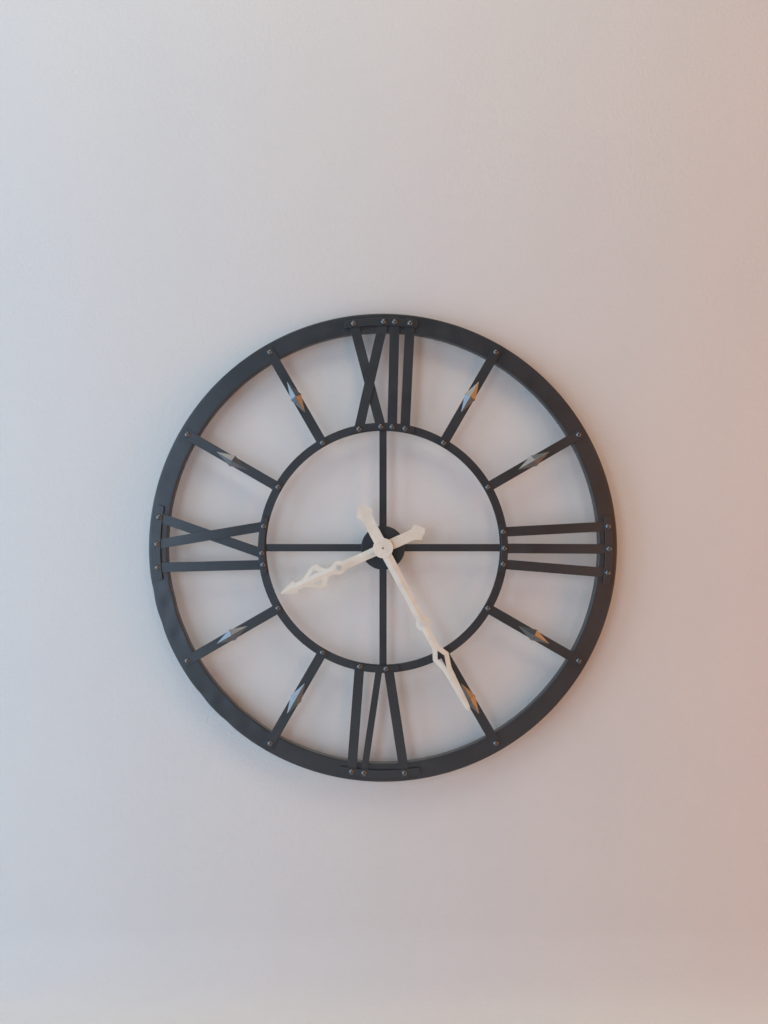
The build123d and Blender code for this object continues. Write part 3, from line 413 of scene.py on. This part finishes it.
def merged_copy(node):
    """The node's shape with its loose triangles merged into whole faces."""
    form = bmesh.new()
    form.from_mesh(NODES[node].data)
    bmesh.ops.remove_doubles(form, verts=form.verts, dist=MERGE)
    bmesh.ops.dissolve_limit(form, angle_limit=FLAT, verts=form.verts, edges=form.edges)
    return form


def soften(form, radius, chosen=None):
    """Rounds the sharp edges, or those of them that are chosen."""
    edges = [e for e in form.edges if e.is_manifold and e.calc_face_angle() > SHARP]
    if chosen is not None:
        edges = [e for e in edges if chosen(e)]
    bmesh.ops.bevel(
        form, geom=edges, offset=radius, offset_type="OFFSET", segments=2, profile=0.5, affect="EDGES",
        clamp_overlap=True, loop_slide=True, material=-1,
    )


def fit_piece(form, name, node):
    """Makes the shape a piece that rides with a CAD node's body and replaces the node."""
    mesh = bpy.data.meshes.new(name)
    form.to_mesh(mesh)
    form.free()
    mesh.shade_smooth()
    mesh.set_sharp_from_angle(angle=SHARP)
    mesh.materials.append(finish(SLOT_OF[node]))
    piece = bpy.data.objects.new(name, mesh)
    bpy.context.scene.collection.objects.link(piece)
    piece.modifiers.new("even_shading", "WEIGHTED_NORMAL").keep_sharp = True
    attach(piece, BODY_OF[node])
    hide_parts(node)


def inner_radius(node):
    """The distance from the dial axis to the node's nearest point."""
    return min(math.hypot(v.co.x, v.co.z) for v in NODES[node].data.vertices)


def nodes_starting(*starts):
    """The CAD nodes whose names start with any of these words, in order."""
    return sorted(node for node in NODES if node.startswith(starts))


# ---- Pieces ----
class CLOCK_OT_rim(bpy.types.Operator):
    """Spin the folded sheet rim and press its handling dents into it"""

    bl_idname = "clock.rim"
    bl_label = "Rim"

    # Clock angles, in degrees, of the dents between seven and nine. They keep clear of the bar at eight.
    DENTS = (217.5, 222.0, 226.5, 231.0, 247.5, 251.5, 256.0, 259.5)
    # Where the dents lie across the rim's face by turns, from its inner edge (0) to its outer edge (1).
    DENT_PLACES = (0.3, 0.9)
    # A dent fades out within this many of its widths, and pulls the face inwards by a share of its depth.
    DENT_REACH = 3
    INWARD_SHARE = 0.6
    FACE_CUTS = 5

    def execute(self, context):
        sizes = context.scene.clock_sizes
        low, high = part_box("outer_ring")
        outer, inner = high.x, inner_radius("outer_ring")
        front, back, sheet = low.y, high.y, sizes.rim_sheet
        points = [
            (outer, back), (outer, front), (inner, front), (inner, back),
            (inner + sheet, back), (inner + sheet, front + sheet), (outer - sheet, front + sheet),
            (outer - sheet, back),
        ]
        bend = sizes.rim_bend
        rounds = {1: bend, 2: bend, 5: bend - sheet, 6: bend - sheet}
        form = spun([(r, y, 0) for r, y in points], rounds, (0, 0, 0), DIAL_AXIS, sizes.rim_steps)
        across = [
            e for e in form.edges
            if abs(e.verts[0].co.y - e.verts[1].co.y) < sheet / 10 and e.calc_length() > (outer - inner) / 2
        ]
        bmesh.ops.subdivide_edges(form, edges=across, cuts=self.FACE_CUTS, use_grid_fill=True)
        for index, angle in enumerate(self.DENTS):
            a = math.radians(angle)
            radius = inner + self.DENT_PLACES[index % 2] * (outer - inner)
            self.press(form, Vector((radius * math.sin(a), radius * math.cos(a))), sizes)
        fit_piece(form, "rim", "outer_ring")
        return {"FINISHED"}

    def press(self, form, centre, sizes):
        """Pushes the sheet towards the wall and the dial's centre round a point of its face."""
        for vert in form.verts:
            flat = Vector((vert.co.x, vert.co.z))
            away = (flat - centre).length / sizes.dent_width
            if away < self.DENT_REACH:
                push = sizes.dent_depth * math.exp(-away * away)
                inwards = flat * (1 - push * self.INWARD_SHARE / flat.length)
                vert.co = (inwards.x, vert.co.y + push, inwards.y)


class CLOCK_OT_bars(bpy.types.Operator):
    """Round the sheared edges of the numeral strokes and the cross, and coat the rest of the frame"""

    bl_idname = "clock.bars"
    bl_label = "Bars and rings"

    def execute(self, context):
        sizes = context.scene.clock_sizes
        numerals = nodes_starting("twelve_", "three_", "six_", "nine_")
        straps = [node for node in numerals if node.endswith("strap")]
        strokes = [node for node in numerals if node not in straps]
        for node in [*strokes, *nodes_starting("cross_bar")]:
            form = merged_copy(node)
            soften(form, sizes.bar_edge)
            fit_piece(form, f"{node}_sheared", node)
        paint("inner_ring", "centre_disc", *nodes_starting("hour_bar"), *straps)
        return {"FINISHED"}


class CLOCK_OT_diamonds(bpy.types.Operator):
    """Round the arrises of the cast diamonds"""

    bl_idname = "clock.diamonds"
    bl_label = "Diamonds"

    # The facets meet at more than ARRIS. Edges within FOOT of the bar's face stay sharp.
    ARRIS = math.radians(8)
    FOOT = 0.1 * MM

    def execute(self, context):
        form = merged_copy("hour_diamonds")
        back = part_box("hour_diamonds")[1].y
        edges = [
            e for e in form.edges
            if e.is_manifold and e.calc_face_angle() > self.ARRIS
            and any(v.co.y < back - self.FOOT for v in e.verts)
        ]
        bmesh.ops.bevel(
            form, geom=edges, offset=context.scene.clock_sizes.diamond_edge, offset_type="OFFSET",
            segments=3, profile=0.5, affect="EDGES", clamp_overlap=True, material=-1,
        )
        fit_piece(form, "diamond_castings", "hour_diamonds")
        return {"FINISHED"}


class CLOCK_OT_rivets(bpy.types.Operator):
    """Lacquer the rivets of the bars and of the numerals"""

    bl_idname = "clock.rivets"
    bl_label = "Rivets"

    def execute(self, context):
        paint("bar_rivets", "numeral_rivets")
        return {"FINISHED"}


class CLOCK_OT_hands(bpy.types.Operator):
    """Round the stamped edges of the two pressed hands"""

    bl_idname = "clock.hands"
    bl_label = "Hands"

    def execute(self, context):
        for node in ("hour_hand", "minute_hand"):
            form = merged_copy(node)
            soften(form, context.scene.clock_sizes.hand_edge)
            fit_piece(form, f"{node}_pressing", node)
        paint("hour_hand_collet", "minute_hand_collet")
        return {"FINISHED"}


class CLOCK_OT_hanging(bpy.types.Operator):
    """Plate the hanger bracket and mould the bumpers"""

    bl_idname = "clock.hanging"
    bl_label = "Hanger and bumpers"

    def execute(self, context):
        paint("hanger_bracket", "wall_bumpers")
        return {"FINISHED"}


class CLOCK_OT_movement(bpy.types.Operator):
    """Finish the movement's case, knob, nut, washer, wheels and motor"""

    bl_idname = "clock.movement"
    bl_label = "Movement"

    def execute(self, context):
        paint("movement_housing", "movement_cover", "movement_nut", "movement_washer", "setting_knob")
        wheels = [node for node in NODES if node.endswith("_wheel")]
        paint("rotor", "stator", "circuit_board", "battery_contacts", *wheels)
        return {"FINISHED"}


class CLOCK_OT_coil(bpy.types.Operator):
    """Wind the motor's coil turn by turn"""

    bl_idname = "clock.coil"
    bl_label = "Coil"

    CHEEK = 1.0 * MM
    CORE_RADIUS = 1.75 * MM
    WINDING_DEPTH = 0.6 * MM
    STEPS = 48

    def execute(self, context):
        low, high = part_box("coil")
        middle = (low + high) / 2
        outer = (high.z - low.z) / 2
        pitch = context.scene.clock_sizes.wire_pitch
        start, end = low.x + self.CHEEK, high.x - self.CHEEK
        crest, root = outer - self.WINDING_DEPTH, outer - self.WINDING_DEPTH - pitch / 2
        profile = [(low.x, self.CORE_RADIUS), (low.x, outer), (start, outer), (start, root)]
        for turn in range(int((end - start) / pitch)):
            at = start + turn * pitch
            profile += [(at + pitch / 4, crest), (at + pitch * 3 / 4, crest), (at + pitch * 0.98, root)]
        profile += [(end, outer), (high.x, outer), (high.x, self.CORE_RADIUS)]
        points = [(x, middle.y, middle.z + radius) for x, radius in profile]
        fit_piece(spun(points, {}, middle, (1, 0, 0), self.STEPS), "motor_coil", "coil")
        return {"FINISHED"}


class CLOCK_OT_battery(bpy.types.Operator):
    """Spin the dry cell with its crimped can and printed sleeve"""

    bl_idname = "clock.battery"
    bl_label = "Battery"

    NUB_LENGTH = 1.0 * MM
    NUB_RADIUS = 2.7 * MM
    # The dished middle of each end and the rim round it, as shares of the can's radius.
    BASE_DISH, BASE_RIM = 0.7, 0.78
    TOP_DISH, TOP_RIM = 0.66, 0.72
    STEPS = 64

    def execute(self, context):
        low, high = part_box("battery_cell")
        middle = (low + high) / 2
        can = (high.z - low.z) / 2
        crimp = context.scene.clock_sizes.crimp_depth
        shoulder = high.x - self.NUB_LENGTH
        profile = [
            (low.x + crimp, 0), (low.x + crimp, can * self.BASE_DISH), (low.x, can * self.BASE_RIM),
            (low.x, can - crimp), (low.x + crimp, can),
            (shoulder - 5 * crimp, can), (shoulder - 4 * crimp, can - crimp),
            (shoulder - 3 * crimp, can - crimp), (shoulder - 2 * crimp, can),
            (shoulder - crimp, can), (shoulder, can - crimp), (shoulder, can * self.TOP_RIM),
            (shoulder - crimp, can * self.TOP_DISH), (shoulder - crimp, self.NUB_RADIUS + crimp),
            (shoulder, self.NUB_RADIUS), (high.x, self.NUB_RADIUS), (high.x, 0),
        ]
        points = [(x, middle.y, middle.z + radius) for x, radius in profile]
        rounds = {3: crimp / 2, 4: crimp, 9: crimp / 2, 10: crimp / 2, 15: crimp}
        cell = spun(points, rounds, middle, (1, 0, 0), self.STEPS, closed=False)
        fit_piece(cell, "dry_cell", "battery_cell")
        return {"FINISHED"}


class CLOCK_OT_studio(bpy.types.Operator):
    """Build the plain wall and floor, the soft lights and the camera"""

    bl_idname = "clock.studio"
    bl_label = "Studio"

    WALL_WIDTH = 7.0
    WALL_TOP = 2.6
    WALL_GAP = 0.2 * MM
    FLOOR_HEIGHT = -0.76
    FLOOR_DEPTH = 3.4
    COVE_RADIUS = 0.1
    COVE_SEGMENTS = 16
    # Each soft light's name, colour, power in watts, width and height, and place.
    LIGHTS = (
        ("side_window", "cool_light", 66, (1.6, 3.6), (-2.6, -1.05, 0.2)),
        ("front_window", "cool_light", 17, (1.0, 1.8), (-1.35, -2.2, 0.1)),
        ("side_lamp", "warm_light", 30, (1.0, 2.6), (2.5, -1.0, 0.1)),
        ("front_lamp", "warm_light", 5, (0.7, 1.2), (1.35, -2.2, 0.0)),
        ("ceiling_light", "ceiling_light", 16, (2.0, 0.8), (-0.2, -1.0, 2.0)),
        ("rear_light", "ceiling_light", 30, (2.4, 1.6), (0.3, 2.2, 1.5)),
    )
    # The air's colour, how strongly it lights the room, and how bright the camera sees it.
    AIR = (0.95, 0.97, 1.0, 1.0)
    AIR_LIGHT = 0.1
    AIR_SEEN = 0.5
    # The viewer stands in front of the dial, a little above its centre, at a 27 mm lens.
    VIEWPOINT = (0.0017, -1.338, 0.061)
    LENS = 27.0

    def execute(self, context):
        colours = context.scene.clock_colours
        self.backdrop(colours)
        for name, glow, power, size, place in self.LIGHTS:
            self.light(name, getattr(colours, glow), power, size, place)
        context.scene.world = self.air()
        context.scene.view_settings.view_transform = "Standard"
        lens = bpy.data.cameras.new("camera")
        lens.lens = self.LENS
        camera = bpy.data.objects.new("camera", lens)
        camera.location = self.VIEWPOINT
        camera.rotation_euler = (math.radians(90), 0, 0)
        context.scene.collection.objects.link(camera)
        context.scene.camera = camera
        return {"FINISHED"}

    def air(self):
        """Dim grey light from all round, behind which the camera sees a pale grey."""
        world = bpy.data.worlds.new("studio_air")
        world.use_nodes = True
        tree = world.node_tree
        tree.nodes.clear()
        dim = add_node(tree, "ShaderNodeBackground", {"Color": self.AIR, "Strength": self.AIR_LIGHT})
        pale = add_node(tree, "ShaderNodeBackground", {"Color": self.AIR, "Strength": self.AIR_SEEN})
        seen = add_node(tree, "ShaderNodeLightPath").outputs["Is Camera Ray"]
        parts = {0: seen, 1: dim.outputs["Background"], 2: pale.outputs["Background"]}
        mixed = add_node(tree, "ShaderNodeMixShader", parts)
        add_node(tree, "ShaderNodeOutputWorld", {"Surface": mixed.outputs["Shader"]})
        return world

    def paper(self, name, colours):
        """Matt paper, opaque from the room's side only, so that the clock's back can be seen and lit."""
        material, tree, shader, place = new_finish(name, {"Roughness": 0.9, "IOR": 1.4})
        shade = drift(tree, place, 300, 0.0, 0.25, 3.0)
        tint(tree, shader, shade, colours.studio, colours.wheel_white)
        relief(tree, shader, drift(tree, place, 6, 0.0, 1.0, 3.0), 0.25)
        clear = add_node(tree, "ShaderNodeBsdfTransparent").outputs["BSDF"]
        behind = add_node(tree, "ShaderNodeNewGeometry").outputs["Backfacing"]
        shadow = add_node(tree, "ShaderNodeLightPath").outputs["Is Shadow Ray"]
        either = add_node(tree, "ShaderNodeMath", {0: behind, 1: shadow}, operation="MAXIMUM")
        parts = {0: either.outputs["Value"], 1: shader.outputs["BSDF"], 2: clear}
        mixed = add_node(tree, "ShaderNodeMixShader", parts)
        output = next(n for n in tree.nodes if n.type == "OUTPUT_MATERIAL")
        tree.links.new(mixed.outputs["Shader"], output.inputs["Surface"])
        return material

    def backdrop(self, colours):
        """A wall that the clock hangs on, which sweeps into the floor."""
        half = self.WALL_WIDTH / 2
        form = bmesh.new()
        line = [
            (-half, self.WALL_GAP, self.WALL_TOP), (-half, self.WALL_GAP, self.FLOOR_HEIGHT),
            (-half, -self.FLOOR_DEPTH, self.FLOOR_HEIGHT),
        ]
        verts = [form.verts.new(p) for p in line]
        form.edges.new(verts[:2])
        form.edges.new(verts[1:])
        bmesh.ops.bevel(
            form, geom=[verts[1]], offset=self.COVE_RADIUS, offset_type="OFFSET",
            segments=self.COVE_SEGMENTS, profile=0.5, affect="VERTICES", material=-1,
        )
        swept = bmesh.ops.extrude_edge_only(form, edges=form.edges[:])["geom"]
        moved = [g for g in swept if isinstance(g, bmesh.types.BMVert)]
        bmesh.ops.translate(form, verts=moved, vec=(self.WALL_WIDTH, 0, 0))
        bmesh.ops.recalc_face_normals(form, faces=form.faces)
        for face in form.faces:
            if face.normal.dot(Vector((0, -1, 1))) < 0:
                face.normal_flip()
        mesh = bpy.data.meshes.new("backdrop")
        form.to_mesh(mesh)
        form.free()
        mesh.shade_smooth()
        mesh.materials.append(self.paper("backdrop_paper", colours))
        wall = bpy.data.objects.new("backdrop", mesh)
        bpy.context.scene.collection.objects.link(wall)

    def light(self, name, glow, power, size, place):
        """A soft rectangular light that faces the dial's centre."""
        data = bpy.data.lights.new(name, "AREA")
        data.shape = "RECTANGLE"
        data.size, data.size_y = size
        data.energy = power
        data.color = glow
        lamp = bpy.data.objects.new(name, data)
        lamp.location = place
        lamp.rotation_euler = (-Vector(place)).to_track_quat("-Z", "Y").to_euler()
        lamp.visible_camera = False
        bpy.context.scene.collection.objects.link(lamp)


class CLOCK_PT_panel(bpy.types.Panel):
    """The clock's settings and pieces"""

    bl_idname = "CLOCK_PT_panel"
    bl_label = "Skeleton clock"
    bl_space_type = "VIEW_3D"
    bl_region_type = "UI"
    bl_category = "Clock"

    def draw(self, context):
        layout = self.layout
        for settings in (context.scene.clock_sizes, context.scene.clock_colours):
            box = layout.box()
            for name in settings.__annotations__:
                box.prop(settings, name)
        for operator in OPERATORS:
            layout.operator(operator.bl_idname)


OPERATORS = (
    CLOCK_OT_rim,
    CLOCK_OT_bars,
    CLOCK_OT_diamonds,
    CLOCK_OT_rivets,
    CLOCK_OT_hands,
    CLOCK_OT_hanging,
    CLOCK_OT_movement,
    CLOCK_OT_coil,
    CLOCK_OT_battery,
    CLOCK_OT_studio,
)
CLASSES = (ClockSizes, ClockColours, *OPERATORS, CLOCK_PT_panel)


def register():
    for cls in CLASSES:
        bpy.utils.register_class(cls)
    bpy.types.Scene.clock_sizes = PointerProperty(type=ClockSizes)
    bpy.types.Scene.clock_colours = PointerProperty(type=ClockColours)


def unregister():
    del bpy.types.Scene.clock_sizes
    del bpy.types.Scene.clock_colours
    for cls in reversed(CLASSES):
        bpy.utils.unregister_class(cls)


def main():
    register()
    for operator in OPERATORS:
        group, name = operator.bl_idname.split(".")
        getattr(getattr(bpy.ops, group), name)()


if __name__ == "__main__":
    main()
